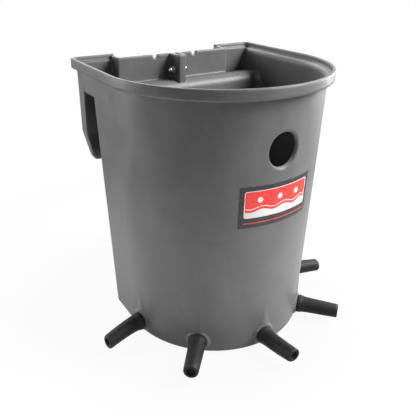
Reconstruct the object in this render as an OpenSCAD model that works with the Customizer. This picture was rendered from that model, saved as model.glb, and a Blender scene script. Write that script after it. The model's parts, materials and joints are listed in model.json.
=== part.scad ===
// Lamb feeder with five rubber teats, hung on a rail by two hollow hooks at its back.
// Millimetres. Origin on the floor at the axis of the round front, front towards -Y, +Z up.

/* [Tub] */
// height of the rim top above the floor
tub_h = 340; // [325:1:355]
// distance that the wall draws in from the rim's height to the floor
wall_draw = 9.5; // [7:0.5:12]
// thickness of the moulded wall
wall_t = 4.5; // [4:0.1:4.8]
// thickness of the floor
floor_t = 5; // [4:0.5:5.4]
// radius of the rounded edge round the floor
foot_r = 7; // [3:0.5:8]
// distance that the back wall leans in from the rail gap's roof to the floor
back_draw = 15; // [12:0.5:16]
// plan radius of the lower back corners
low_corner_r = 14; // [12:1:16]

/* [Rim] */
// outside radius of the rim band at the front
rim_r = 140.5; // [135:0.5:146]
// distance of the rim's back behind the axis
rim_back_y = 129; // [124:0.5:134]
// distance that the rim band stands out of the wall
rim_step = 7.5; // [7:0.1:8]
// height of the stepped rim band
rim_h = 12.5; // [10:0.5:15]
// plan radius of the two rim corners
rim_corner_r = 9; // [7:0.5:10]
// thickness of the rim band
rim_t = 4; // [3.5:0.1:4.2]
// radius of the rounded edges of the rim band
rim_edge_r = 1.6; // [1.2:0.1:1.8]
// thickness of the shoulder between the wall and the rim band
shoulder_t = 6.5; // [6:0.5:7.5]
// height of the slope inside the shoulder
slope_h = 8; // [7:0.5:8.5]

/* [Back] */
// drop of the rail gap's roof below the rim top
roof_drop = 40; // [37:1:44]
// width of the rail gap between the back wall and the hooks
rail_w = 22; // [20:0.5:24]
// radius of the rounded edge where the ledge turns down
nose_r = 13; // [10:0.5:15]
// radius of the rounded edge where the ledge turns down into each hook
back_nose_r = 12; // [10:0.5:13]
// distance of the panel's front face ahead of the hooks
panel_lead = 2; // [1.5:0.1:2.4]
// drop of the panel's top edge below the rim top
panel_drop = 2; // [2:0.5:4]
// distance of each notch from the middle
notch_x = 30; // [26:1:36]
// radius of each notch
notch_r = 3.8; // [3:0.1:4.5]
// depth of each notch
notch_d = 5; // [4.6:0.1:6]

/* [Hooks] */
// distance of a hook's back face ahead of the rim's back
hook_step = 5; // [4.5:0.5:6]
// depth of a hook, front to back
hook_d = 20; // [19:0.5:21]
// width of a hook
hook_w = 52.3; // [50:0.1:55]
// distance of a hook's outer face inside the rim's side
hook_inset = 8.2; // [7.8:0.1:8.6]
// draft of a hook's front face down to the bend
hook_draft = 2; // [1:0.5:3]
// drop of the bend below the rail gap's roof
bend_drop = 56; // [50:1:60]
// drop of the middle of the round tip below the rail gap's roof
tip_drop = 87; // [83:1:90]
// distance of the middle of the round tip behind the hook's front face
tip_lead = 5; // [4:0.5:7]
// radius of the round tip
tip_r = 8; // [7.5:0.1:8.5]
// taper of a hook's outer face from the bend to the foot
hook_taper = 6; // [4:0.5:8]
// size of the slanted lower corners of a hook seen from behind
hook_corner = 8; // [6:0.5:10]

/* [Pillar] */
// depth of the pillar in front of the panel
pillar_d = 21; // [20:0.5:23]
// half the width of the pillar's front
pillar_half = 5; // [4.8:0.1:5.5]
// half the width of the pillar where it leaves the panel
pillar_root_half = 8.4; // [8:0.1:9.5]
// thickness of the pillar's front wall
pillar_t = 3.4; // [3.2:0.1:3.7]
// half the width of the groove behind the pillar
groove_half = 2.4; // [2.35:0.05:2.6]
// radius of the flat boss under each washer
boss_r = 5.8; // [5.6:0.1:6.2]
// distance of a boss's face from the middle
boss_half = 8; // [7.8:0.1:8.5]
// height of the pivot bolt above the ledge
pivot_rise = 13.5; // [12.5:0.5:15]
// distance of the pivot bolt behind the pillar's front
pivot_back = 10.5; // [10.5:0.1:11.5]

/* [Teats] */
// angle between neighbouring teats in degrees
teat_step = 40; // [37:1:42]
// height of the teat holes
teat_z = 19.5; // [19.5:0.5:24]
// distance that a teat's boss stands out of the wall
seat_h = 2.6; // [2.2:0.1:3]
// radius of the flat face of a teat's boss
seat_face_r = 13.2; // [13:0.1:13.6]
// height of the flame shaped swelling over a teat
flame_h = 50; // [44:1:56]
// depth of the flame's ridge below the face of the boss
flame_sink = 0.3; // [0.2:0.1:0.4]
// radius of the flame's swelling at the teat
flame_r = 34; // [30:1:40]
// radius of a teat hole
teat_hole_r = 8; // [7.5:0.1:8.5]
// radius of the collar outside the wall
collar_r = 12; // [11:0.1:13]
// length of the straight part of the collar
collar_l = 6; // [5:0.5:8]
// length of the cone from the collar to the stem
cone_l = 9; // [7:0.5:12]
// radius of the stem at the cone
stem_r = 10.3; // [9.8:0.1:10.8]
// radius of the stem at its end
end_r = 9.2; // [8.8:0.1:9.5]
// length of a teat outside the wall
teat_l = 55; // [52:1:60]
// radius of the rounded edge of the collar and the end
teat_edge_r = 1.8; // [1:0.1:2.2]
// radius of the milk passage
milk_r = 4.6; // [4:0.1:5]
// radius of the recess in the end
mouth_r = 2.9; // [2.4:0.1:3.4]
// depth of the recess in the end
mouth_d = 5; // [3:0.5:7]
// thickness of the slit skin behind the recess
skin_t = 2; // [1.5:0.1:3]
// width of the slit
slit_w = 0.6; // [0.4:0.1:0.8]
// radius of the flange inside the wall
flange_r = 13; // [11.5:0.1:13.5]
// thickness of the flange inside the wall
flange_t = 3; // [2:0.1:4]
// distance that the seat inside the wall is wider than the flange
flange_gap = 0.6; // [0.4:0.1:0.8]

/* [Filling hole] */
// radius of the round hole in the front
fill_r = 20; // [17:0.5:22]
// angle of the round hole and the label from the middle of the front, in degrees
face_turn = 2; // [0:0.5:4]
// drop of the middle of the round hole below the rim top
fill_drop = 72; // [68:1:76]
// depth of the slanted edge round the hole, above and below
fill_edge = 2.4; // [2.2:0.1:2.6]

/* [Rail keeper] */
// thickness of the keeper across the groove
keeper_t = 4; // [3.4:0.1:4.1]
// radius of the keeper's hub
hub_r = 5.6; // [5.2:0.1:5.7]
// height of the rail gap over the keeper's toe
rail_h = 47; // [43:1:52]
// thickness of the keeper's toe
toe_t = 12; // [10:0.5:14]
// gap between the back wall and the toe's front end
toe_gap = 6; // [4:0.5:9]
// depth of the keeper's arm, front to back
arm_d = 10.4; // [9:0.1:11]
// radius of the toe's rounded ends
toe_r = 4; // [3:0.5:4.5]
// outside radius of the pivot sleeve
sleeve_r = 3.6; // [3.4:0.1:3.8]

/* [Fasteners] */
// radius of the pivot bolt
bolt_r = 2.5; // [2.3:0.1:2.5]
// radius of the bolt's domed head
head_r = 4.7; // [4.4:0.1:5]
// height of the bolt's domed head
head_h = 2.8; // [2.6:0.1:3]
// radius of the hexagon socket in the head
socket_r = 1.7; // [1.5:0.1:1.9]
// depth of the hexagon socket in the head
socket_d = 1.6; // [1.3:0.1:1.8]
// radius of a washer
washer_r = 5; // [4.8:0.1:5.1]
// thickness of a washer
washer_t = 1.2; // [1:0.1:1.4]
// radius of the nut across its flats
nut_flat_r = 4; // [3.8:0.1:4.2]
// height of the nut's hexagon
nut_h = 3.6; // [3.2:0.1:4]
// height of the nut's round collar
nut_collar_h = 1.4; // [1:0.1:1.8]
// length of thread standing out of the nut
thread_out = 1.5; // [1:0.1:2.5]

/* [Label] */
// half the length of the label along the wall
label_half = 50; // [45:1:54]
// gap between the round hole and the label
label_gap = 17; // [12:1:22]
// height of the label itself
label_h = 50; // [44:1:54]
// thickness of the label
label_t = 0.4; // [0.3:0.05:0.5]

/* [Clearances] */
// gap of a part that turns in its hole
turn_gap = 0.06; // [0.05:0.01:0.08]
// gap between a turning part and the faces beside it
side_gap = 0.4; // [0.35:0.05:0.45]
// gap between parts that are clamped or stuck together
seat_gap = 0.04; // [0.03:0.01:0.06]
// gap between a bolt and the hole that it is put through
bolt_gap = 0.2; // [0.15:0.05:0.25]

/* [Hidden] */
$fn = 96;
// overrun of every cut past the face that it opens
over = 2;
// distance that a round edge is drawn past the face that it runs into
blend = 0.05;
// distance that the round edge of the ledge is set forward of the back wall
nose_lead = 0.5;
neck_r = rim_r - rim_step;
base_r = neck_r - wall_draw;
lean_share = wall_draw / tub_h;
lean = atan(lean_share);
rim_z = tub_h - rim_h;
roof_z = tub_h - roof_drop;
ledge_z = roof_z + wall_t;
bend_z = roof_z - bend_drop;
tip_z = roof_z - tip_drop;
toe_z = roof_z - rail_h;
pivot_z = ledge_z + pivot_rise;
fill_z = tub_h - fill_drop;
label_z = fill_z - fill_r - label_gap - label_h;
hook_back_y = rim_back_y - hook_step;
hook_y = hook_back_y - hook_d;
low_back_y = hook_y - rail_w;
panel_y = hook_y - panel_lead;
pillar_y = panel_y - pillar_d;
pivot_y = pillar_y + pivot_back;
tip_y = hook_y + tip_lead;
toe_y = low_back_y + toe_gap;
hook_x_end = rim_r - hook_inset;
panel_half = hook_x_end - hook_w;
shelf_z = rim_z + shoulder_t;
step_z = shelf_z - slope_h;
panel_top_z = tub_h - panel_drop;
panel_back_y = panel_y + wall_t;
groove_y = pillar_y + pillar_t;
hook_x = panel_half;
rim_in_r = rim_r - rim_t;
turn_x = body_r(ledge_z) - low_corner_r;
inner_back_y = low_back_y - wall_t;
back_share = back_draw / roof_z;
back_lean = atan(back_share);
seat_r = body_r(teat_z) + seat_h;
far = tub_h + rim_r;
neck_rad = teat_hole_r - turn_gap;
collar_z = side_gap;
end_z = teat_l;
flange_z = -wall_t - side_gap;
arm_y = hook_y;
keeper_foot_z = toe_z - toe_t;
seat_x = boss_half + seat_gap;
head_x = seat_x + washer_t + seat_gap;
nut_x = head_x;
nut_r = nut_flat_r / cos(30);
label_angle = label_half / body_r(label_z) * 180 / PI;
// steps of a hook's slanted corners as shares of the corner's size
corner_side_share = 0.25;
corner_foot_share = 0.35;
// steps of the soft slope inside the rim as shares of its run and of its height
soft_shares = [[0.06, 0.36], [0.22, 0.66], [0.48, 0.87], [0.76, 0.97]];

function body_r(z) = base_r + z * lean_share;

// solid corner left over outside a round edge, its tip at the origin, the part towards -X and -Y
module corner(r) {
    difference() {
        translate([-r, -r])
            square(r + over);
        translate([-r, -r])
            circle(r);
    }
}

// half section of the body between two heights, drawn in by an inset
module half_section(z_low, z_high, inset) {
    polygon([[0, z_low], [body_r(z_low) - inset, z_low], [body_r(z_high) - inset, z_high], [0, z_high]]);
}

// half section of the outside, with the round edge at the floor
module foot_section() {
    difference() {
        half_section(0, rim_z, 0);
        difference() {
            translate([base_r - foot_r, -over])
                square([foot_r + over, foot_r + over - foot_r * sin(lean)]);
            translate([base_r + foot_r * lean_share - foot_r / cos(lean) + blend, foot_r])
                circle(foot_r);
        }
    }
}

// half section of the inside with the step out into the rim
module inside_section(z_low) {
    step_r = body_r(step_z) - wall_t;
    soft = [for (share = soft_shares) [step_r + (rim_in_r - step_r) * share[0], step_z + slope_h * share[1]]];
    polygon(concat([[0, z_low], [body_r(z_low) - wall_t, z_low], [step_r, step_z]], soft,
        [[rim_in_r, shelf_z], [rim_in_r, shelf_z + over], [0, shelf_z + over]]));
}

// round front made from a half section
module front_turn() {
    rotate([0, 0, 180])
        rotate_extrude(angle = 180, $fn = 144)
            children();
}

// straight sides made from a half section, run back from the axis
module side_run(y_end) {
    translate([0, y_end, 0])
        rotate([90, 0, 0])
            linear_extrude(y_end) {
                children();
                mirror([1, 0])
                    children();
            }
}

// section in the side view run across the object
module cross_run(x_start, x_end) {
    translate([x_start, 0, 0])
        rotate([90, 0, 90])
            linear_extrude(x_end - x_start)
                children();
}

// section in the back view run from front to back
module back_run(y_start, y_end) {
    translate([0, y_end, 0])
        rotate([90, 0, 0])
            linear_extrude(y_end - y_start)
                children();
}

// plan of the rim, round in front and square behind
module rim_plan(r, back, corner_r) {
    intersection() {
        circle(r, $fn = 144);
        translate([-r, -r])
            square([2 * r, r]);
    }
    difference() {
        translate([-r, 0])
            square([2 * r, back]);
        for (side = [0, 1])
            mirror([side, 0])
                translate([r, back])
                    corner(corner_r);
    }
}

// leaning round corner at the lower back, on both sides
module back_corners(inset) {
    translate([0, low_back_y, roof_z])
        rotate([-back_lean, 0, 0])
            translate([0, -low_back_y, -roof_z]) {
                for (side = [0, 1])
                    mirror([side, 0, 0])
                        translate([body_r(0) - inset + blend, low_back_y - inset + blend, 0])
                            rotate([0, lean, 0])
                                translate([0, 0, -foot_r])
                                    linear_extrude(tub_h)
                                        corner(low_corner_r - inset);
                translate([-far, low_back_y - inset, -foot_r])
                    cube([2 * far, far, tub_h]);
            }
}

// side view of a hook, drawn in by an inset
module hook_side(top_z, inset) {
    run = [tip_y - (hook_y + hook_draft + hook_back_y) / 2, tip_z - bend_z];
    away = [run[1], -run[0]] / norm(run) * (tip_r - inset);
    tip = [tip_y, tip_z];
    polygon([[hook_y + inset, top_z], [hook_y + inset, roof_z], [hook_y + hook_draft + inset, bend_z],
        tip + away, tip - away, [hook_back_y - inset, bend_z], [hook_back_y - inset, top_z]]);
    translate(tip)
        circle(tip_r - inset);
}

// back view of a hook, drawn in by an inset
module hook_back(top_z, inset) {
    foot_z = tip_z - tip_r + inset;
    near_x = hook_x + inset;
    far_x = hook_x_end - inset;
    low_x = far_x - hook_taper;
    step_x = hook_corner * corner_side_share;
    step_up = hook_corner * corner_foot_share;
    polygon([[near_x, top_z], [near_x, foot_z + hook_corner], [near_x + step_x, foot_z + step_up],
        [near_x + hook_corner, foot_z], [low_x - hook_corner, foot_z], [low_x - step_x, foot_z + step_up],
        [low_x, foot_z + hook_corner], [far_x, bend_z], [far_x, top_z]]);
}

// both hooks, drawn in by an inset
module hooks(top_z, inset) {
    for (side = [0, 1])
        mirror([side, 0, 0])
            intersection() {
                cross_run(hook_x, hook_x_end)
                    hook_side(top_z, inset);
                back_run(0, rim_back_y)
                    hook_back(top_z, inset);
            }
}

// place of one teat, +Z out of the wall, zero on the face of its boss
module at_teat(number) {
    rotate([0, 0, (number - 3) * teat_step])
        translate([0, -seat_r, teat_z])
            rotate([90, 0, 0])
                children();
}

// raised bosses under the teats, each with a flame shaped swelling that fades out above it
module teat_bosses() {
    flame_angle = atan(flame_r / flame_h);
    flame_l = flame_h * cos(flame_angle);
    apex_z = flame_h * lean_share - seat_h - flame_sink;
    fall_angle = atan((apex_z + flame_sink) / flame_h);
    seat_l = wall_t + seat_h / 2;
    for (number = [1:5])
        at_teat(number) {
            translate([0, 0, -seat_l])
                cylinder(h = seat_l, r1 = seat_face_r + wall_t, r2 = seat_face_r);
            intersection() {
                translate([0, flame_h, apex_z])
                    rotate([90 + flame_angle + fall_angle, 0, 0])
                        cylinder(h = 2 * flame_l, r1 = 0, r2 = 2 * flame_l * flame_r / flame_h);
                translate([-flame_r, 0, -wall_t])
                    cube([2 * flame_r, flame_h, wall_t + over]);
            }
        }
}

// flat seats for the flanges inside the wall
module flange_seats() {
    for (number = [1:5])
        at_teat(number)
            translate([0, 0, -wall_t - flange_t - over])
                cylinder(h = flange_t + over, r = flange_r + flange_gap);
}

// section of the rim band, its outer face at zero
module rim_section() {
    difference() {
        translate([-rim_t, 0])
            square([rim_t, rim_h]);
        translate([0, rim_h])
            corner(rim_edge_r);
        mirror([0, 1])
            corner(rim_edge_r);
        translate([-rim_t, rim_h])
            mirror([1, 0])
                corner(rim_edge_r);
    }
}

// rim band all round the top
module rim_band() {
    straight_y = rim_back_y - rim_corner_r;
    straight_x = rim_r - rim_corner_r;
    translate([0, 0, rim_z]) {
        front_turn()
            translate([rim_r, 0])
                rim_section();
        side_run(straight_y)
            translate([rim_r, 0])
                rim_section();
        for (side = [0, 1])
            mirror([side, 0, 0])
                translate([straight_x, straight_y, 0])
                    rotate_extrude(angle = 90)
                        translate([rim_corner_r, 0])
                            rim_section();
        cross_run(-straight_x, straight_x)
            translate([rim_back_y, 0])
                rim_section();
    }
}

// outside of the tub as one full block
module tub_outside() {
    difference() {
        union() {
            front_turn()
                foot_section();
            side_run(low_back_y + over)
                intersection() {
                    foot_section();
                    square([far, roof_z]);
                }
        }
        back_corners(0);
        translate([0, low_back_y - back_draw + foot_r * back_share + blend, 0])
            cross_run(-far, far)
                mirror([0, 1])
                    corner(foot_r);
    }
    teat_bosses();
    side_run(hook_back_y)
        half_section(roof_z, rim_z, 0);
    hooks(rim_z, 0);
    translate([0, low_back_y - blend, roof_z + blend])
        cross_run(-turn_x, turn_x)
            mirror([1, 0])
                corner(nose_r - wall_t);
    intersection() {
        side_run(hook_back_y)
            half_section(roof_z - back_nose_r, ledge_z, nose_lead);
        for (side = [0, 1])
            mirror([side, 0, 0])
                translate([0, hook_y + nose_lead, roof_z + blend])
                    cross_run(hook_x, hook_x_end)
                        corner(back_nose_r - wall_t);
    }
    translate([0, 0, rim_z])
        linear_extrude(shoulder_t)
            rim_plan(rim_r - rim_t / 2, rim_back_y - rim_t / 2, rim_corner_r - rim_t / 2);
}

// plan of the pillar, narrower towards its front
module pillar_plan() {
    polygon([[-pillar_half, pillar_y], [pillar_half, pillar_y], [pillar_root_half, panel_y],
        [pillar_root_half, panel_back_y], [-pillar_root_half, panel_back_y], [-pillar_root_half, panel_y]]);
}

// flat bosses for the washers on both sides of the pillar
module pillar_bosses() {
    translate([0, pivot_y, pivot_z])
        rotate([0, 90, 0])
            cylinder(h = 2 * boss_half, r = boss_r, center = true);
}

// inside above the ledge, the ledge rounded in front, round both corners and into the hooks
module upper_inside() {
    intersection() {
        side_run(hook_back_y - wall_t)
            inside_section(ledge_z - nose_r - over);
        union() {
            translate([-far, -over, ledge_z])
                cube([2 * far, far, far]);
            translate([0, inner_back_y - nose_lead, ledge_z + blend])
                cross_run(-turn_x, turn_x)
                    mirror([1, 0])
                        corner(nose_r);
            for (side = [0, 1])
                mirror([side, 0, 0])
                    translate([0, hook_y + wall_t + nose_lead, ledge_z + blend])
                        cross_run(panel_half + wall_t, far)
                            corner(back_nose_r);
            for (side = [0, 1])
                mirror([side, 0, 0])
                    translate([turn_x, low_back_y - low_corner_r, ledge_z + blend])
                        rotate_extrude(angle = 90)
                            translate([low_corner_r - wall_t - nose_lead, 0])
                                mirror([1, 0])
                                    corner(nose_r);
        }
    }
}

// inside of the tub as one full block
module tub_inside() {
    panel_keep = panel_half + wall_t;
    difference() {
        union() {
            front_turn()
                inside_section(floor_t);
            side_run(low_back_y)
                intersection() {
                    inside_section(floor_t);
                    square([far, ledge_z]);
                }
        }
        back_corners(wall_t);
    }
    flange_seats();
    difference() {
        upper_inside();
        translate([-panel_keep, panel_y, 0])
            cube([2 * panel_keep, far, far]);
        linear_extrude(far)
            pillar_plan();
        pillar_bosses();
    }
    hooks(ledge_z + over, wall_t);
}

// panel and pillar above the shoulder
module pillar_top() {
    panel_keep = panel_half + wall_t;
    translate([-panel_keep, panel_y, rim_z])
        cube([2 * panel_keep, rim_back_y - panel_y - rim_edge_r, panel_top_z - rim_z]);
    translate([0, 0, rim_z])
        linear_extrude(panel_top_z - rim_z)
            pillar_plan();
}

module tub() {
    color([0.42, 0.43, 0.44])
        difference() {
            union() {
                difference() {
                    tub_outside();
                    tub_inside();
                }
                rim_band();
                pillar_top();
            }
            translate([-panel_half, panel_back_y, 0])
                cube([2 * panel_half, far, far]);
            translate([-panel_half, pillar_y - over, panel_top_z])
                cube([2 * panel_half, far, far]);
            translate([-groove_half, groove_y, roof_z - over])
                cube([2 * groove_half, far, far]);
            for (side = [-1, 1])
                translate([side * notch_x, 0, 0])
                    back_run(pillar_y, far) {
                        translate([-notch_r, panel_top_z - notch_d + notch_r])
                            square([2 * notch_r, far]);
                        translate([0, panel_top_z - notch_d + notch_r])
                            circle(notch_r);
                    }
            for (number = [1:5])
                at_teat(number)
                    translate([0, 0, -wall_t - over])
                        cylinder(h = wall_t + 2 * over, r = teat_hole_r);
            rotate([0, 0, face_turn])
                translate([0, -body_r(fill_z), fill_z])
                    rotate([90 + lean, 0, 0]) {
                        translate([0, 0, -fill_r])
                            cylinder(h = 2 * fill_r, r = fill_r);
                        translate([0, 0, -fill_edge])
                            cylinder(h = fill_edge + over, r1 = fill_r, r2 = fill_r + fill_edge + over);
                    }
            translate([-boss_half - over, pivot_y, pivot_z])
                rotate([0, 90, 0])
                    cylinder(h = 2 * (boss_half + over), r = bolt_r + bolt_gap);
        }
}

// half section of a teat, wall face at zero
module teat_section() {
    difference() {
        union() {
            translate([0, flange_z - flange_t])
                square([flange_r, flange_t]);
            translate([0, flange_z - seat_gap])
                square([neck_rad, collar_z + seat_gap - flange_z + seat_gap]);
            translate([0, collar_z])
                square([collar_r, collar_l - teat_edge_r]);
            translate([0, collar_z])
                square([collar_r - teat_edge_r, collar_l]);
            translate([collar_r - teat_edge_r, collar_z + collar_l - teat_edge_r])
                circle(teat_edge_r);
            polygon([[0, collar_z + collar_l - teat_edge_r], [collar_r - teat_edge_r, collar_z + collar_l],
                [stem_r, collar_z + collar_l + cone_l], [end_r, end_z - teat_edge_r],
                [0, end_z - teat_edge_r]]);
            translate([0, end_z - 2 * teat_edge_r])
                square([end_r - teat_edge_r, 2 * teat_edge_r]);
            translate([end_r - teat_edge_r, end_z - teat_edge_r])
                circle(teat_edge_r);
        }
        translate([-over, flange_z - flange_t - over])
            square([milk_r + over, end_z - mouth_d - skin_t - flange_z + flange_t + over]);
        translate([-over, end_z - mouth_d])
            square([mouth_r + over, mouth_d + over]);
        translate([-far, -far])
            square([far, 2 * far]);
    }
}

module teat(number) {
    color([0.07, 0.07, 0.07])
        at_teat(number)
            difference() {
                rotate_extrude($fn = 64)
                    teat_section();
                translate([-mouth_r, -slit_w / 2, end_z - mouth_d - skin_t - seat_gap])
                    cube([2 * mouth_r, slit_w, skin_t + 2 * seat_gap]);
            }
}

module teat_1() {
    teat(1);
}

module teat_2() {
    teat(2);
}

module teat_3() {
    teat(3);
}

module teat_4() {
    teat(4);
}

module teat_5() {
    teat(5);
}

module rail_keeper() {
    color([0.1, 0.1, 0.11])
        cross_run(-keeper_t / 2, keeper_t / 2)
            difference() {
                union() {
                    translate([pivot_y, pivot_z])
                        circle(hub_r);
                    translate([pivot_y, pivot_z - hub_r])
                        square([arm_y + arm_d - pivot_y, 2 * hub_r]);
                    translate([arm_y, keeper_foot_z + toe_r])
                        square([arm_d, pivot_z - keeper_foot_z - toe_r]);
                    translate([toe_y + toe_r, keeper_foot_z])
                        square([arm_y + arm_d - toe_y - 2 * toe_r, toe_t]);
                    translate([toe_y, keeper_foot_z + toe_r])
                        square([arm_d, toe_t - 2 * toe_r]);
                    for (z = [keeper_foot_z + toe_r, toe_z - toe_r])
                        translate([toe_y + toe_r, z])
                            circle(toe_r);
                    translate([arm_y + arm_d - toe_r, keeper_foot_z + toe_r])
                        circle(toe_r);
                }
                translate([pivot_y, pivot_z])
                    circle(sleeve_r + turn_gap);
            }
}

module pivot_sleeve() {
    color([0.7, 0.72, 0.74])
        translate([0, pivot_y, pivot_z])
            rotate([0, 90, 0])
                difference() {
                    cylinder(h = 2 * (groove_half - seat_gap), r = sleeve_r, center = true);
                    cylinder(h = 2 * boss_half, r = bolt_r + bolt_gap, center = true);
                }
}

module pivot_bolt() {
    ball_r = (head_r * head_r + head_h * head_h) / (2 * head_h);
    color([0.78, 0.79, 0.8])
        translate([0, pivot_y, pivot_z])
            rotate([0, 90, 0]) {
                translate([0, 0, -nut_x - nut_h - nut_collar_h - thread_out])
                    cylinder(h = nut_x + nut_h + nut_collar_h + thread_out + head_x + seat_gap, r = bolt_r);
                difference() {
                    intersection() {
                        translate([0, 0, head_x + head_h - ball_r])
                            sphere(ball_r);
                        translate([0, 0, head_x])
                            cylinder(h = head_h, r = head_r);
                    }
                    translate([0, 0, head_x + head_h - socket_d])
                        cylinder(h = socket_d + over, r = socket_r, $fn = 6);
                }
            }
}

// washer with its inner face at a place along the bolt
module washer(x) {
    color([0.74, 0.75, 0.76])
        translate([x, pivot_y, pivot_z])
            rotate([0, 90, 0])
                difference() {
                    cylinder(h = washer_t, r = washer_r);
                    translate([0, 0, -over])
                        cylinder(h = washer_t + 2 * over, r = bolt_r + bolt_gap);
                }
}

module head_washer() {
    washer(seat_x);
}

module nut_washer() {
    washer(-seat_x - washer_t);
}

module lock_nut() {
    color([0.72, 0.73, 0.74])
        translate([-nut_x, pivot_y, pivot_z])
            rotate([0, -90, 0])
                difference() {
                    union() {
                        cylinder(h = nut_h, r = nut_r, $fn = 6);
                        cylinder(h = nut_h + nut_collar_h, r = nut_flat_r - seat_gap);
                    }
                    translate([0, 0, -over])
                        cylinder(h = nut_h + nut_collar_h + 2 * over, r = bolt_r + seat_gap);
                }
}

module front_label() {
    color([0.75, 0.16, 0.16])
        rotate([0, 0, -90 - label_angle + face_turn])
            rotate_extrude(angle = 2 * label_angle, $fn = 144)
                polygon([[body_r(label_z) + seat_gap, label_z],
                    [body_r(label_z) + seat_gap + label_t, label_z],
                    [body_r(label_z + label_h) + seat_gap + label_t, label_z + label_h],
                    [body_r(label_z + label_h) + seat_gap, label_z + label_h]]);
}

tub();
teat_1();
teat_2();
teat_3();
teat_4();
teat_5();
rail_keeper();
pivot_sleeve();
pivot_bolt();
head_washer();
nut_washer();
lock_nut();
front_label();
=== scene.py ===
import json
import math

import bmesh
import bpy
from mathutils import Matrix, Vector


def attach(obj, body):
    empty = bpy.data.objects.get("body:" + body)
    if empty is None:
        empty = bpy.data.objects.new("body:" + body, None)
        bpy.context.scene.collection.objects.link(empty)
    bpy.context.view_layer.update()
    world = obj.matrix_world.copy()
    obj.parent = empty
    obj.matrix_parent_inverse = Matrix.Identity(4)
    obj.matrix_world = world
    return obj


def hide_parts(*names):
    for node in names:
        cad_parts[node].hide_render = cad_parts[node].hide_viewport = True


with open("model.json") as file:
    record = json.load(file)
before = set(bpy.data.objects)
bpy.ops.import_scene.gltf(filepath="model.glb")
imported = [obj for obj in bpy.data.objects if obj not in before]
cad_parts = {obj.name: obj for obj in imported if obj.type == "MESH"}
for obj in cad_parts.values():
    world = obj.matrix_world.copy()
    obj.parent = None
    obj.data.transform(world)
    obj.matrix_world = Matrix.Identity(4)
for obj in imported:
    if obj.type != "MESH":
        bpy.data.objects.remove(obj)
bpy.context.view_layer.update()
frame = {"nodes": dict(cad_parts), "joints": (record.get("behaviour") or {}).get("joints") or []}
nodes = frame["nodes"]
joints = {joint["name"]: joint for joint in frame["joints"]}

# Tub: one shell of mid grey polyethylene, moulded in a turning oven, so that its skin is
# satin with a faint pebble and slow waves, and its colour is mottled by the melted powder.
# The rim, ledge, pillar and hollow hooks are one piece with it.
TUB_DARK = (0.132, 0.132, 0.133, 1.0)
TUB_PALE = (0.152, 0.152, 0.153, 1.0)
TUB_SCUFF = (0.20, 0.20, 0.202, 1.0)
TUB_EDGE_RADIUS = 0.0042
TUB_FLECK_SHARE = 0.18
TUB_RUB_SHARE = 0.18
TUB_ROUGHNESS = (0.37, 0.45)
SCUFF_STRETCH = (70.0, 70.0, 5.0)
SCUFF_RANGE = (0.6, 0.78)
SCUFF_SHARE = 0.3
SCUFF_ROUGHNESS = 0.3
# painted shade on the front faces of the hooks inside the rail gap, and where each end fades
RAIL_GAP_SHADE = (0.030, 0.030, 0.031, 1.0)
RAIL_GAP_SHADE_SHARE = 0.85
RAIL_GAP_SHADE_FRONT = (0.1005, 0.1030)
RAIL_GAP_SHADE_BACK = (0.1085, 0.1044)
RAIL_GAP_SHADE_TOP = (0.3010, 0.2990)


def add_node(tree, kind, inputs=None, **settings):
    """A node in the tree, with its settings, and its inputs as values or as sockets to link."""
    node = tree.nodes.new(kind)
    for key, value in settings.items():
        setattr(node, key, value)
    for key, value in (inputs or {}).items():
        if isinstance(value, bpy.types.NodeSocket):
            tree.links.new(value, node.inputs[key])
        else:
            node.inputs[key].default_value = value
    return node


def maths(tree, operation, first, second=0.0, third=0.0):
    """The result socket of one sum."""
    values = {0: first, 1: second, 2: third}
    return add_node(tree, "ShaderNodeMath", values, operation=operation).outputs[0]


def ramp(tree, value, low, high, start=0.0, end=1.0):
    """A value taken smoothly from one range to another."""
    node = add_node(
        tree,
        "ShaderNodeMapRange",
        {"Value": value, "From Min": low, "From Max": high, "To Min": start, "To Max": end},
        interpolation_type="SMOOTHSTEP",
    )
    return node.outputs["Result"]


def noise(tree, place, scale, detail, roughness=0.5):
    """A cloud of noise over the surface."""
    values = {"Vector": place, "Scale": scale, "Detail": detail, "Roughness": roughness}
    return add_node(tree, "ShaderNodeTexNoise", values).outputs[0]


def mix_colour(tree, share, first, second):
    """One colour laid over another by a share."""
    values = {0: share, 6: first, 7: second}
    return add_node(tree, "ShaderNodeMix", values, data_type="RGBA").outputs[2]


def lay_over(tree, colour, over, mask, share):
    """A colour with another laid over it where a mask is, by a share of the mask."""
    return mix_colour(tree, maths(tree, "MULTIPLY", mask, share), colour, over)


def object_place(tree):
    """The place on the piece, in metres."""
    return add_node(tree, "ShaderNodeTexCoord").outputs["Object"]


def stretched(tree, place, scale):
    """A place scaled apart along each axis, for marks that run one way."""
    return add_node(tree, "ShaderNodeMapping", {"Vector": place, "Scale": scale}).outputs[0]


def start_group(name, inputs, outputs):
    """An empty node group with named number inputs and outputs."""
    group = bpy.data.node_groups.new(name, "ShaderNodeTree")
    for label, value in inputs.items():
        socket = group.interface.new_socket(label, in_out="INPUT", socket_type="NodeSocketFloat")
        socket.default_value = value
    for label, kind in outputs.items():
        group.interface.new_socket(label, in_out="OUTPUT", socket_type=kind)
    return group, group.nodes.new("NodeGroupInput"), group.nodes.new("NodeGroupOutput")


def use_group(tree, group, inputs):
    """The outputs of one placed copy of a node group with its own values."""
    return add_node(tree, "ShaderNodeGroup", inputs, node_tree=group).outputs


def start_material(name):
    """A node material, its tree and its shader."""
    material = bpy.data.materials.new(name)
    material.use_nodes = True
    return material, material.node_tree, material.node_tree.nodes["Principled BSDF"]


def add_relief(tree, shader, strength, distance, height, normal=None):
    """Gives a finish its fine relief, over its rounded edges where it has them."""
    values = {"Height": height, "Strength": strength, "Distance": distance}
    bump = add_node(tree, "ShaderNodeBump", values)
    if normal is not None:
        tree.links.new(normal, bump.inputs["Normal"])
    tree.links.new(bump.outputs[0], shader.inputs["Normal"])


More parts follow.
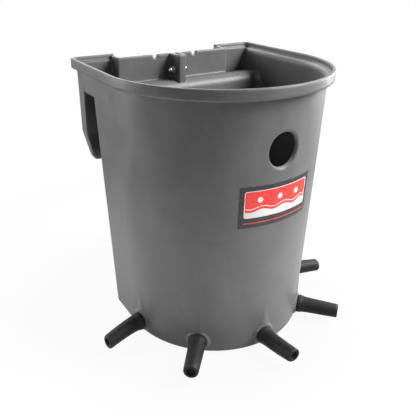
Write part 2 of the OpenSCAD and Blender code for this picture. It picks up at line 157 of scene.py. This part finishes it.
def paint(node_name, material):
    """Gives a solid of the frame its finish."""
    for slot in nodes[node_name].material_slots:
        slot.material = material


# skin of a moulded piece: a fine pebble over slow waves, and the mottle of its colour
MOTTLE_PER_WAVE, FLECK_PER_PEBBLE = 2.7, 2.2
MOTTLE_RANGE, FLECK_RANGE = (0.3, 0.7), (0.52, 0.75)

moulded_skin, skin_in, skin_out = start_group(
    "moulded_skin",
    {"Pebble Scale": 300.0, "Wave Scale": 10.0, "Wave Share": 0.5},
    {"Height": "NodeSocketFloat", "Mottle": "NodeSocketFloat", "Fleck": "NodeSocketFloat"},
)
pebble_scale, wave_scale = skin_in.outputs["Pebble Scale"], skin_in.outputs["Wave Scale"]
wave_share = skin_in.outputs["Wave Share"]
skin_place = object_place(moulded_skin)
pebble = noise(moulded_skin, skin_place, pebble_scale, 3.0, 0.55)
wave = noise(moulded_skin, skin_place, wave_scale, 2.0, 0.45)
mottle_scale = maths(moulded_skin, "MULTIPLY", wave_scale, MOTTLE_PER_WAVE)
mottle = noise(moulded_skin, skin_place, mottle_scale, 5.0, 0.62)
fleck_scale = maths(moulded_skin, "MULTIPLY", pebble_scale, FLECK_PER_PEBBLE)
fleck = noise(moulded_skin, skin_place, fleck_scale, 1.0)
wave_part = maths(moulded_skin, "MULTIPLY", wave, wave_share)
pebble_share = maths(moulded_skin, "SUBTRACT", 1.0, wave_share)
pebble_part = maths(moulded_skin, "MULTIPLY", pebble, pebble_share)
skin_height = maths(moulded_skin, "ADD", wave_part, pebble_part)
moulded_skin.links.new(skin_height, skin_out.inputs["Height"])
moulded_skin.links.new(ramp(moulded_skin, mottle, *MOTTLE_RANGE), skin_out.inputs["Mottle"])
moulded_skin.links.new(ramp(moulded_skin, fleck, *FLECK_RANGE), skin_out.inputs["Fleck"])

# edge of a moulded or cut piece: rounded over, and rubbed paler along its crest
CREST_TURN, RUB_RANGE = (0.985, 0.86), (0.35, 0.68)

rubbed_edge, edge_in, edge_out = start_group(
    "rubbed_edge",
    {"Radius": 0.002, "Breakup Scale": 60.0},
    {"Rub": "NodeSocketFloat", "Normal": "NodeSocketVector"},
)
rounded = add_node(
    rubbed_edge, "ShaderNodeBevel", {"Radius": edge_in.outputs["Radius"]}, samples=8
).outputs["Normal"]
true_normal = add_node(rubbed_edge, "ShaderNodeNewGeometry").outputs["Normal"]
turn = add_node(
    rubbed_edge, "ShaderNodeVectorMath", {0: rounded, 1: true_normal}, operation="DOT_PRODUCT"
).outputs["Value"]
edge_place = object_place(rubbed_edge)
breakup = noise(rubbed_edge, edge_place, edge_in.outputs["Breakup Scale"], 4.0)
crest = ramp(rubbed_edge, turn, *CREST_TURN)
rub = maths(rubbed_edge, "MULTIPLY", crest, ramp(rubbed_edge, breakup, *RUB_RANGE))
rubbed_edge.links.new(rub, edge_out.inputs["Rub"])
rubbed_edge.links.new(rounded, edge_out.inputs["Normal"])

tub_plastic, tree, shader = start_material("tub_polyethylene")
skin = use_group(
    tree, moulded_skin, {"Pebble Scale": 420.0, "Wave Scale": 9.0, "Wave Share": 0.86}
)
edge = use_group(tree, rubbed_edge, {"Radius": TUB_EDGE_RADIUS, "Breakup Scale": 45.0})
place = object_place(tree)
scuffs = noise(tree, stretched(tree, place, SCUFF_STRETCH), 1.0, 6.0, 0.7)
scuff_mask = maths(tree, "MULTIPLY", ramp(tree, scuffs, *SCUFF_RANGE), SCUFF_SHARE)
colour = mix_colour(tree, skin["Mottle"], TUB_DARK, TUB_PALE)
colour = lay_over(tree, colour, TUB_SCUFF, skin["Fleck"], TUB_FLECK_SHARE)
colour = mix_colour(tree, scuff_mask, colour, TUB_SCUFF)
colour = lay_over(tree, colour, TUB_SCUFF, edge["Rub"], TUB_RUB_SHARE)
# painted shade: the hooks' front faces inside the rail gap are darkened below its roof
where = add_node(tree, "ShaderNodeSeparateXYZ", {0: place}).outputs
gap_shade_start = ramp(tree, where["Y"], *RAIL_GAP_SHADE_FRONT)
gap_shade_end = ramp(tree, where["Y"], *RAIL_GAP_SHADE_BACK)
gap_shade_below = ramp(tree, where["Z"], *RAIL_GAP_SHADE_TOP, 0.0, RAIL_GAP_SHADE_SHARE)
gap_shaded = maths(tree, "MULTIPLY", maths(tree, "MULTIPLY", gap_shade_start, gap_shade_end), gap_shade_below)
colour = mix_colour(tree, gap_shaded, colour, RAIL_GAP_SHADE)
tree.links.new(colour, shader.inputs["Base Color"])
roughness = ramp(tree, skin["Mottle"], 0.0, 1.0, *TUB_ROUGHNESS)
roughness = maths(tree, "MULTIPLY_ADD", scuff_mask, SCUFF_ROUGHNESS, roughness)
tree.links.new(roughness, shader.inputs["Roughness"])
add_relief(tree, shader, 0.40, 0.0020, skin["Height"], edge["Normal"])
shader.inputs["IOR"].default_value = 1.5
shader.inputs["Specular IOR Level"].default_value = 0.34
paint("tub", tub_plastic)

# Teats: five lamb teats of black rubber, pushed into their holes from outside until the inner
# flange snaps open behind the wall. Each is moulded in two halves, which leave a fine line along
# the stem, and the end has a mouth with a slit skin a little way in.
TEAT_STEPS = 72
TEAT_PROFILE_MM = (
    (4.6, -7.9),
    (13.0, -7.9),
    (13.0, -4.9),
    (7.94, -4.9),
    (7.94, 0.4),
    (11.4, 0.4),
    (12.0, 1.0),
    (12.0, 4.3),
    (11.8, 5.3),
    (11.4, 6.2),
    (11.05, 7.6),
    (10.8, 9.6),
    (10.55, 12.6),
    (10.35, 16.5),
    (10.1, 24.0),
    (9.75, 36.0),
    (9.4, 47.0),
    (9.2, 52.4),
    (8.9, 53.8),
    (8.2, 54.7),
    (7.2, 55.0),
    (6.1, 55.0),
    (5.5, 54.7),
    (5.2, 54.1),
    (5.0, 51.5),
    (4.6, 51.0),
    (2.9, 50.8),
    (2.9, 48.0),
    (4.6, 46.6),
)
TEAT_SHARP_ANGLE = math.radians(38)
TEAT_LINE_RISE = 0.00022
TEAT_LINE_LOW, TEAT_LINE_HIGH = 0.002, 0.054
TEAT_LINE_INSIDE = 0.007
# sideways and upward set of each teat's tip, which grows along the stem
TEAT_BENDS = {
    1: (0.0045, -0.005),
    2: (0.0, 0.0),
    3: (0.0025, 0.0045),
    4: (0.0, 0.0),
    5: (0.0, -0.003),
}
TEAT_BEND_LOW, TEAT_BEND_HIGH = 0.007, 0.055
TEAT_BEND_POWER = 1.5
LIP_RADIUS = 0.0031
LIP_STEPS = 32
LIP_GAP = 0.0003
LIP_LOW, LIP_HIGH = 0.048, 0.050
RUBBER_DARK = (0.007, 0.007, 0.007, 1.0)
RUBBER_PALE = (0.014, 0.014, 0.014, 1.0)
RUBBER_RUB = (0.05, 0.05, 0.05, 1.0)
RUBBER_RUB_SHARE = 0.3
RUBBER_ROUGHNESS = (0.52, 0.66)

rubber, tree, shader = start_material("teat_rubber")
skin = use_group(
    tree, moulded_skin, {"Pebble Scale": 900.0, "Wave Scale": 55.0, "Wave Share": 0.3}
)
edge = use_group(tree, rubbed_edge, {"Radius": 0.0008, "Breakup Scale": 160.0})
colour = mix_colour(tree, skin["Mottle"], RUBBER_DARK, RUBBER_PALE)
colour = lay_over(tree, colour, RUBBER_RUB, edge["Rub"], RUBBER_RUB_SHARE)
tree.links.new(colour, shader.inputs["Base Color"])
roughness = ramp(tree, skin["Mottle"], 0.0, 1.0, *RUBBER_ROUGHNESS)
tree.links.new(roughness, shader.inputs["Roughness"])
add_relief(tree, shader, 0.5, 0.0004, skin["Height"], edge["Normal"])
shader.inputs["IOR"].default_value = 1.42
shader.inputs["Specular IOR Level"].default_value = 0.36


def spun(mesh, profile, steps):
    """Turns a closed outline of (radius, height) once round the Z axis of a bmesh."""
    verts = [mesh.verts.new((radius, 0.0, height)) for radius, height in profile]
    edges = [mesh.edges.new(pair) for pair in zip(verts, verts[1:] + verts[:1])]
    bmesh.ops.spin(
        mesh,
        geom=verts + edges,
        cent=(0, 0, 0),
        axis=(0, 0, 1),
        angle=math.tau,
        steps=steps,
        use_merge=True,
    )
    bmesh.ops.remove_doubles(mesh, verts=mesh.verts, dist=1e-7)
    bmesh.ops.recalc_face_normals(mesh, faces=mesh.faces)


def raise_mould_lines(mesh):
    """Lifts the two fine lines along the stem, where the halves of the mould met."""
    for vert in mesh.verts:
        reach = Vector((vert.co.x, vert.co.y, 0.0))
        on_line = abs(vert.co.y) < 1e-6 and reach.length > TEAT_LINE_INSIDE
        if on_line and TEAT_LINE_LOW < vert.co.z < TEAT_LINE_HIGH:
            vert.co += reach.normalized() * TEAT_LINE_RISE


def add_lip(mesh, side):
    """One half of the slit skin in the mouth."""
    disc = bmesh.ops.create_circle(mesh, cap_ends=True, radius=LIP_RADIUS, segments=LIP_STEPS)
    lip = disc["verts"]
    bmesh.ops.translate(mesh, vec=(0, 0, LIP_LOW), verts=lip)
    faces = {face for vert in lip for face in vert.link_faces}
    edges = {corner for face in faces for corner in face.edges}
    cut = bmesh.ops.bisect_plane(
        mesh,
        geom=list(lip) + list(edges) + list(faces),
        plane_co=(0, side * LIP_GAP, 0),
        plane_no=(0, -side, 0),
        clear_outer=True,
    )
    half = [part for part in cut["geom"] if isinstance(part, bmesh.types.BMFace) and part.is_valid]
    raised = bmesh.ops.extrude_face_region(mesh, geom=half, use_keep_orig=True)["geom"]
    top = [part for part in raised if isinstance(part, bmesh.types.BMVert)]
    bmesh.ops.translate(mesh, vec=(0, 0, LIP_HIGH - LIP_LOW), verts=top)


def teat_mesh():
    """One teat on the Z axis, its wall face at zero."""
    mesh = bmesh.new()
    profile = [(radius * 0.001, height * 0.001) for radius, height in TEAT_PROFILE_MM]
    spun(mesh, profile, TEAT_STEPS)
    raise_mould_lines(mesh)
    for side in (-1, 1):
        add_lip(mesh, side)
    bmesh.ops.recalc_face_normals(mesh, faces=mesh.faces)
    return mesh


def finish_piece(name, mesh, material):
    """An object made of a bmesh, smooth, with its finish."""
    for face in mesh.faces:
        face.smooth = True
    data = bpy.data.meshes.new(name)
    mesh.to_mesh(data)
    mesh.free()
    data.materials.append(material)
    data.set_sharp_from_angle(angle=TEAT_SHARP_ANGLE)
    piece = bpy.data.objects.new(name, data)
    bpy.context.scene.collection.objects.link(piece)
    return piece


for number, (side, rise) in TEAT_BENDS.items():
    joint = joints[f"teat_{number}_turn"]
    out = Vector(joint["axis"])
    turned = out.to_track_quat("Z", "Y").to_matrix().to_4x4()
    mesh = teat_mesh()
    bent = turned.inverted() @ (Vector((-out.y, out.x, 0.0)) * side + Vector((0.0, 0.0, rise)))
    for vert in mesh.verts:
        share = max(0.0, vert.co.z - TEAT_BEND_LOW) / (TEAT_BEND_HIGH - TEAT_BEND_LOW)
        vert.co += bent * share**TEAT_BEND_POWER
    placed = Matrix.Translation(joint["pos_m"]) @ turned
    bmesh.ops.transform(mesh, matrix=placed, verts=mesh.verts)
    teat = finish_piece(f"rubber_teat_{number}", mesh, rubber)
    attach(teat, f"teat_{number}")
    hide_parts(f"teat_{number}")

# Rail keeper: a flat hook, moulded in black nylon, that hangs on a sleeve behind the pillar.
# It drops behind the rail, and swings back and up out of the rail's way.
KEEPER_DARK = (0.016, 0.016, 0.018, 1.0)
KEEPER_PALE = (0.026, 0.026, 0.028, 1.0)
KEEPER_RUB = (0.09, 0.09, 0.095, 1.0)
KEEPER_RUB_SHARE = 0.5
KEEPER_ROUGHNESS = (0.34, 0.48)

keeper_nylon, tree, shader = start_material("keeper_nylon")
skin = use_group(
    tree, moulded_skin, {"Pebble Scale": 700.0, "Wave Scale": 40.0, "Wave Share": 0.3}
)
edge = use_group(tree, rubbed_edge, {"Radius": 0.0009, "Breakup Scale": 120.0})
colour = mix_colour(tree, skin["Mottle"], KEEPER_DARK, KEEPER_PALE)
colour = lay_over(tree, colour, KEEPER_RUB, edge["Rub"], KEEPER_RUB_SHARE)
tree.links.new(colour, shader.inputs["Base Color"])
roughness = ramp(tree, skin["Mottle"], 0.0, 1.0, *KEEPER_ROUGHNESS)
tree.links.new(roughness, shader.inputs["Roughness"])
add_relief(tree, shader, 0.4, 0.0003, skin["Height"], edge["Normal"])
paint("rail_keeper", keeper_nylon)

# Pivot: a stainless bolt through the pillar with a washer under its domed head and its nut, and
# a sleeve round its middle. Turned and pressed steel, with fine marks round the bolt's axis.
STEEL_DARK = (0.24, 0.243, 0.247, 1.0)
STEEL_PALE = (0.42, 0.424, 0.43, 1.0)
STEEL_ROUGHNESS = (0.22, 0.36)
STAIN_SCALE = 240.0
TURNING_STRETCH = (9000.0, 500.0, 500.0)

stainless, tree, shader = start_material("stainless_steel")
place = object_place(tree)
marks = noise(tree, stretched(tree, place, TURNING_STRETCH), 1.0, 3.0)
stain = noise(tree, place, STAIN_SCALE, 4.0)
edge = use_group(tree, rubbed_edge, {"Radius": 0.0004, "Breakup Scale": 300.0})
colour = mix_colour(tree, ramp(tree, stain, 0.35, 0.65), STEEL_DARK, STEEL_PALE)
tree.links.new(colour, shader.inputs["Base Color"])
roughness = ramp(tree, stain, 0.3, 0.7, *STEEL_ROUGHNESS)
tree.links.new(roughness, shader.inputs["Roughness"])
add_relief(tree, shader, 0.25, 0.00005, marks, edge["Normal"])
shader.inputs["Metallic"].default_value = 1.0
for node_name in ("pivot_bolt", "pivot_sleeve", "head_washer", "nut_washer", "lock_nut"):
    paint(node_name, stainless)

# Label: a printed film stuck on the round front under the filling hole, charcoal with a red
# panel in a white edge, a milk wave, a ripple over it and three drops, and a red line below.
LABEL_RADIUS = 0.129
LABEL_TURN = math.radians(2.0)
LABEL_MIDDLE = 0.206
FILM = (0.046, 0.048, 0.050, 1.0)
RED = (0.88, 0.052, 0.044, 1.0)
WHITE = (0.74, 0.74, 0.72, 1.0)
FILM_DUST = (0.28, 0.27, 0.26, 1.0)
FILM_DUST_SHARE = 0.10
FILM_ROUGHNESS = (0.26, 0.40)
PANEL_MIDDLE, PANEL_HALF, PANEL_CORNER = (0.0, 0.0035), (0.045, 0.0165), 0.0030
FIELD_HALF, FIELD_CORNER = (0.0441, 0.0156), 0.0022
WAVE_RISE, WAVE_LENGTH = 0.0016, 0.030
MILK_HEIGHT, RIPPLE_HEIGHT, RIPPLE_HALF = -0.0045, -0.0008, 0.0005
DROP_PLACES, DROP_HEIGHT, DROP_RADIUS = (-0.026, 0.0, 0.026), 0.0085, 0.0034
LINE_MIDDLE, LINE_HALF, LINE_CORNER = (0.0, -0.0195), (0.045, 0.0005), 0.0004

# patch with round corners on the film, given by its middle, its half sizes and its corner
print_patch, patch_in, patch_out = start_group(
    "print_patch",
    {
        "Along": 0.0,
        "Up": 0.0,
        "Middle Along": 0.0,
        "Middle Up": 0.0,
        "Half Along": 0.01,
        "Half Up": 0.01,
        "Corner": 0.001,
    },
    {"Mask": "NodeSocketFloat"},
)
given = patch_in.outputs
past = {}
for axis in ("Along", "Up"):
    offset = maths(print_patch, "SUBTRACT", given[axis], given[f"Middle {axis}"])
    offset = maths(print_patch, "ABSOLUTE", offset)
    beyond = maths(print_patch, "SUBTRACT", offset, given[f"Half {axis}"])
    beyond = maths(print_patch, "ADD", beyond, given["Corner"])
    past[axis] = maths(print_patch, "MAXIMUM", beyond, 0.0)
across = maths(print_patch, "MULTIPLY", past["Along"], past["Along"])
squares = maths(print_patch, "MULTIPLY_ADD", past["Up"], past["Up"], across)
distance = maths(print_patch, "SQRT", squares)
inside = maths(print_patch, "LESS_THAN", distance, given["Corner"])
print_patch.links.new(inside, patch_out.inputs["Mask"])

label_film, tree, shader = start_material("label_film")
parts = add_node(tree, "ShaderNodeSeparateXYZ", {0: object_place(tree)}).outputs
front = maths(tree, "MULTIPLY", parts["Y"], -1.0)
angle = maths(tree, "SUBTRACT", maths(tree, "ARCTAN2", parts["X"], front), LABEL_TURN)
along = maths(tree, "MULTIPLY", angle, LABEL_RADIUS)
up = maths(tree, "SUBTRACT", parts["Z"], LABEL_MIDDLE)


def patch(middle, half, corner):
    """Mask of one printed patch."""
    values = {
        "Along": along,
        "Up": up,
        "Middle Along": middle[0],
        "Middle Up": middle[1],
        "Half Along": half[0],
        "Half Up": half[1],
        "Corner": corner,
    }
    return use_group(tree, print_patch, values)["Mask"]


def milk_line(height):
    """Height of a wave along the label."""
    swing = maths(tree, "SINE", maths(tree, "MULTIPLY", along, math.tau / WAVE_LENGTH))
    return maths(tree, "MULTIPLY_ADD", swing, WAVE_RISE, height)


panel = patch(PANEL_MIDDLE, PANEL_HALF, PANEL_CORNER)
field = patch(PANEL_MIDDLE, FIELD_HALF, FIELD_CORNER)
milk = maths(tree, "LESS_THAN", up, milk_line(MILK_HEIGHT))
ripple = maths(tree, "COMPARE", up, milk_line(RIPPLE_HEIGHT), RIPPLE_HALF)
motif = maths(tree, "MAXIMUM", milk, ripple)
for drop_along in DROP_PLACES:
    drop = patch((drop_along, DROP_HEIGHT), (DROP_RADIUS, DROP_RADIUS), DROP_RADIUS)
    motif = maths(tree, "MAXIMUM", motif, drop)
motif = maths(tree, "MULTIPLY", motif, field)
line = patch(LINE_MIDDLE, LINE_HALF, LINE_CORNER)
colour = mix_colour(tree, panel, FILM, WHITE)
colour = mix_colour(tree, field, colour, RED)
colour = mix_colour(tree, motif, colour, WHITE)
colour = mix_colour(tree, line, colour, RED)
worn = use_group(
    tree, moulded_skin, {"Pebble Scale": 900.0, "Wave Scale": 22.0, "Wave Share": 0.4}
)
colour = lay_over(tree, colour, FILM_DUST, worn["Fleck"], FILM_DUST_SHARE)
tree.links.new(colour, shader.inputs["Base Color"])
roughness = ramp(tree, worn["Mottle"], 0.0, 1.0, *FILM_ROUGHNESS)
tree.links.new(roughness, shader.inputs["Roughness"])
add_relief(tree, shader, 0.3, 0.0005, worn["Height"])
paint("front_label", label_film)

# Studio: a pale sheet on the floor in a white surround, a soft box high in front on the right,
# weaker ones on both sides and behind, and the camera at the photograph's viewing angle.
CAMERA_PLACE = Vector((-0.3538, -0.5360, 0.4545))
CAMERA_YAW = math.radians(30.19)
CAMERA_PITCH = math.radians(25.69)
CAMERA_SENSOR, CAMERA_LENS, CAMERA_NEAR = 36.0, 45.0, 0.01
CAMERA_SHIFT = 22.0 / 416.0
FLOOR_RADIUS, FLOOR_STEPS, FLOOR_HEIGHT = 6.0, 64, -0.0005
FLOOR_DARK = (0.12, 0.12, 0.12, 1.0)
FLOOR_PALE = (0.88, 0.88, 0.88, 1.0)
# distances from the middle over which the sheet ends, its painted shadow round the foot lifts, and
# its glow, painted bounce light, begins
SHEET_END = (0.30, 0.60)
SHADE_END = (0.15, 0.32)
BOUNCE_START = (0.16, 0.34)
SHADE_PALENESS = 0.3
BOUNCE = 2.1
SHADOW_SHARE = 0.07
# what a reflection sees of the floor far away, and how much more of the sheet
MIRRORED_FAR, MIRRORED_SHEET = 0.2, 0.7
SURROUND = 0.03
# name, place, aim, width, height and power of each lamp
LAMPS = (
    ("key_box", (1.00, -0.76, 1.28), (0.05, 0.0, 0.28), 0.8, 0.8, 52.0),
    ("right_box", (1.5, 0.05, 0.5), (0.1, 0.0, 0.25), 0.5, 1.0, 18.0),
    ("left_box", (-1.15, 0.9, 0.5), (-0.1, 0.0, 0.25), 0.6, 1.0, 14.0),
    ("back_box", (0.25, 1.3, 1.1), (0.0, 0.1, 0.3), 1.4, 0.7, 14.0),
)

camera = bpy.data.objects.new("camera", bpy.data.cameras.new("camera"))
camera.data.sensor_width = CAMERA_SENSOR
camera.data.lens = CAMERA_LENS
camera.data.shift_x = CAMERA_SHIFT
camera.data.clip_start = CAMERA_NEAR
forward = Vector(
    (
        math.sin(CAMERA_YAW) * math.cos(CAMERA_PITCH),
        math.cos(CAMERA_YAW) * math.cos(CAMERA_PITCH),
        -math.sin(CAMERA_PITCH),
    )
)
camera.location = CAMERA_PLACE
camera.rotation_euler = forward.to_track_quat("-Z", "Y").to_euler()
bpy.context.scene.collection.objects.link(camera)
bpy.context.scene.camera = camera

floor_mesh = bmesh.new()
bmesh.ops.create_circle(floor_mesh, cap_ends=True, radius=FLOOR_RADIUS, segments=FLOOR_STEPS)
floor_data = bpy.data.meshes.new("floor")
floor_mesh.to_mesh(floor_data)
floor_mesh.free()
floor = bpy.data.objects.new("floor", floor_data)
floor.location = (0, 0, FLOOR_HEIGHT)
bpy.context.scene.collection.objects.link(floor)


def seen_white(tree):
    """One where the camera, a reflection or glass sees the surface."""
    rays = add_node(tree, "ShaderNodeLightPath").outputs
    seen = maths(tree, "MAXIMUM", rays["Is Camera Ray"], rays["Is Glossy Ray"])
    return maths(tree, "MAXIMUM", seen, rays["Is Transmission Ray"])


pale, tree, shader = start_material("pale_floor")
place = object_place(tree)
away = add_node(tree, "ShaderNodeVectorMath", {0: place}, operation="LENGTH").outputs["Value"]
sheet = ramp(tree, away, *SHEET_END, 1.0, 0.0)
# painted shadow: the floor's colour is darker round the foot
shade = ramp(tree, away, *SHADE_END, SHADE_PALENESS, 1.0)
colour = mix_colour(tree, maths(tree, "MULTIPLY", sheet, shade), FLOOR_DARK, FLOOR_PALE)
tree.links.new(colour, shader.inputs["Base Color"])
shader.inputs["Roughness"].default_value = 0.9
seen = seen_white(tree)
# painted light: the floor glows for all but camera, reflection and glass rays, standing in for
# light bounced up from it, in a ring starting a little way from the foot
open_floor = maths(tree, "MULTIPLY", sheet, ramp(tree, away, *BOUNCE_START))
unseen_bounce = maths(tree, "MULTIPLY_ADD", seen, -BOUNCE, BOUNCE)
bounce = maths(tree, "MULTIPLY", open_floor, unseen_bounce)
tree.links.new(bounce, shader.inputs["Emission Strength"])
shader.inputs["Emission Color"].default_value = (1, 1, 1, 1)
from_camera = add_node(tree, "ShaderNodeLightPath").outputs["Is Camera Ray"]
mirrored = maths(tree, "MULTIPLY_ADD", sheet, MIRRORED_SHEET, MIRRORED_FAR)
white = maths(tree, "MAXIMUM", from_camera, mirrored)
bare = maths(tree, "MULTIPLY_ADD", sheet, -SHADOW_SHARE, 1.0)
glow = add_node(tree, "ShaderNodeEmission", {"Color": (1, 1, 1, 1), "Strength": white})
lit = add_node(
    tree,
    "ShaderNodeMixShader",
    {0: maths(tree, "MULTIPLY", seen, bare), 1: shader.outputs[0], 2: glow.outputs[0]},
)
tree.links.new(lit.outputs[0], tree.nodes["Material Output"].inputs["Surface"])
floor_data.materials.append(pale)

world = bpy.data.worlds.new("white_surround")
world.use_nodes = True
bpy.context.scene.world = world
tree = world.node_tree
strength = ramp(tree, seen_white(tree), 0.0, 1.0, SURROUND, 1.0)
tree.links.new(strength, tree.nodes["Background"].inputs["Strength"])
tree.nodes["Background"].inputs["Color"].default_value = (1, 1, 1, 1)

for name, lamp_place, aim, width, height, power in LAMPS:
    data = bpy.data.lights.new(name, "AREA")
    data.shape = "RECTANGLE"
    data.size, data.size_y, data.energy = width, height, power
    lamp = bpy.data.objects.new(name, data)
    lamp.location = lamp_place
    beam = Vector(aim) - Vector(lamp_place)
    lamp.rotation_euler = beam.to_track_quat("-Z", "Y").to_euler()
    bpy.context.scene.collection.objects.link(lamp)
bpy.context.scene.view_settings.view_transform = "Standard"
